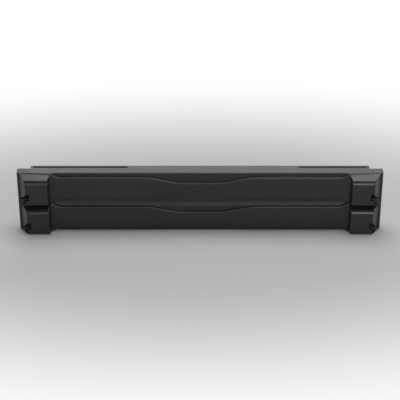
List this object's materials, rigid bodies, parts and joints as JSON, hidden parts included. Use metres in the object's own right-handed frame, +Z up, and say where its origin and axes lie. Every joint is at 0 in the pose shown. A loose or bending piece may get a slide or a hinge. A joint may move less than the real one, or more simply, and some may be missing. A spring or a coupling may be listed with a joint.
{
  "type": "blanking panel",
  "caption": "Tool-less blanking panel for a server rack: a ribbed plastic tray with a waisted raised face on each unit, sloped end blocks with finger tabs and snap latches.",
  "frame": {"origin": "on the plane where the ears meet the rack rails, half way along the panel and half way up it", "axes": "+X along the panel to the right as seen from the front, +Y into the rack, +Z up"},
  "size_m": [0.4826, 0.0327, 0.0882],
  "materials": {
    "abs": "moulded, fine satin grain, black"
  },
  "bodies": {
    "root": {"panel": "abs"}
  },
  "joints": []
}
